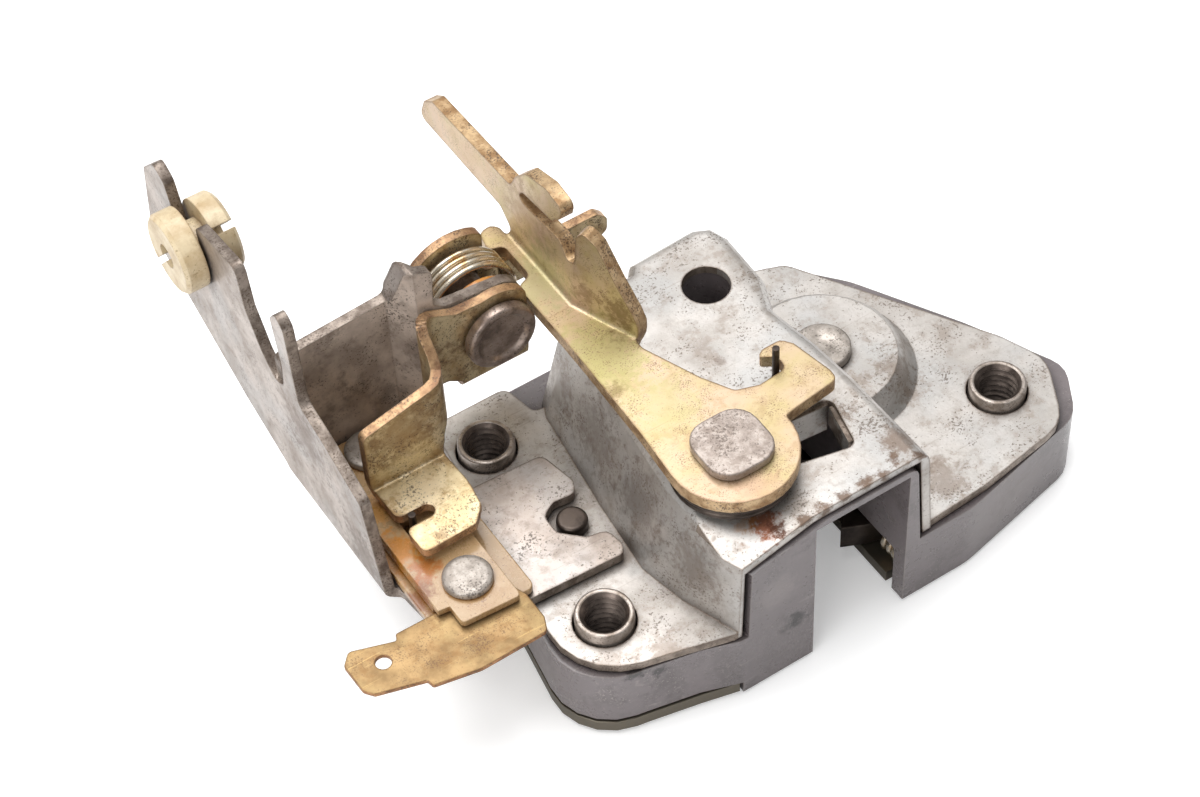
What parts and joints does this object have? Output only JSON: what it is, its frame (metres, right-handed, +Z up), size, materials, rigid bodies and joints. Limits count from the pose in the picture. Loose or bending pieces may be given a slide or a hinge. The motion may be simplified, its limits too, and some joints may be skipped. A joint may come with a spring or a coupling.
{
  "type": "tailgate lock",
  "caption": "Tailgate lock: moulded housing under a pressed cover, striker slot with fork and pawl, folded release lever, and a switch worked by a sprung contact lever.",
  "frame": {"origin": "middle of the striker slot at its mouth, on the face that meets the panel", "axes": "+X to the right along the lock, +Y from the slot's mouth towards its closed end, +Z up from the panel face through the cover"},
  "size_m": [0.0999, 0.0824, 0.048],
  "materials": {
    "phosphated_steel": "dull olive-grey phosphate, stained",
    "black_moulded_plastic": "satin black moulded plastic, small scratches",
    "zinc_plated_steel": "white zinc, speckled, worn brown at the front edges",
    "bright_turned_steel": "turned, bright",
    "white_zinc_rivet": "white zinc, speckled",
    "latch_steel": "blanked and tumbled",
    "bright_spring_wire": "bright drawn wire with amber grease",
    "dark_pin_steel": "dark, rubbed",
    "oiled_dark_steel": "dark, oiled",
    "yellow_zinc_steel": "yellow zinc, iridescent, speckled brown",
    "raw_grey_steel": "bare grey steel, dulled",
    "amber_nylon": "amber, greasy",
    "bronze_brown_steel": "bronze-brown passivate, pale edges",
    "tan_nylon": "translucent tan nylon",
    "brass": "brass, tarnished",
    "ivory_nylon": "ivory nylon"
  },
  "bodies": {
    "lock_body": {"bottom_plate": "phosphated_steel", "housing": "black_moulded_plastic", "cover_plate": "zinc_plated_steel", "bush_front_left": "bright_turned_steel", "bush_rear_left": "bright_turned_steel", "bush_right": "bright_turned_steel", "fork_rivet": "white_zinc_rivet", "fork_spring": "bright_spring_wire", "carrier_bracket": "raw_grey_steel", "locating_pin": "oiled_dark_steel", "pivot_pin": "dark_pin_steel", "pin_ring": "dark_pin_steel", "spacer_bush": "amber_nylon", "return_spring": "bright_spring_wire", "switch_base": "tan_nylon", "switch_cover": "tan_nylon", "switch_contact": "white_zinc_rivet", "switch_rivet_front": "white_zinc_rivet", "switch_rivet_rear": "white_zinc_rivet", "terminal": "brass", "cable_clip": "ivory_nylon"},
    "fork": {"latch_fork": "latch_steel"},
    "release": {"pawl": "latch_steel", "pawl_stud": "dark_pin_steel", "pawl_spring": "oiled_dark_steel", "release_lever": "yellow_zinc_steel"},
    "contact": {"contact_lever": "bronze_brown_steel"}
  },
  "joints": [
    {"name": "fork_turn", "type": "hinge", "parent": "lock_body", "child": "fork", "pos_m": [0.0143, 0.0276, 0.0041], "axis": [0, 0, 1], "range_deg": [-48, 0], "stiffness_Nm_per_rad": 0.05},
    {"name": "release_turn", "type": "hinge", "parent": "lock_body", "child": "release", "pos_m": [-0.0111, 0.011, 0.03], "axis": [0, 0, 1], "range_deg": [-10, 0], "stiffness_Nm_per_rad": 0.2},
    {"name": "contact_turn", "type": "hinge", "parent": "lock_body", "child": "contact", "pos_m": [-0.023, 0.04445, 0.0299], "axis": [0, 1, 0], "range_deg": [0, 8], "stiffness_Nm_per_rad": 0.1}
  ]
}
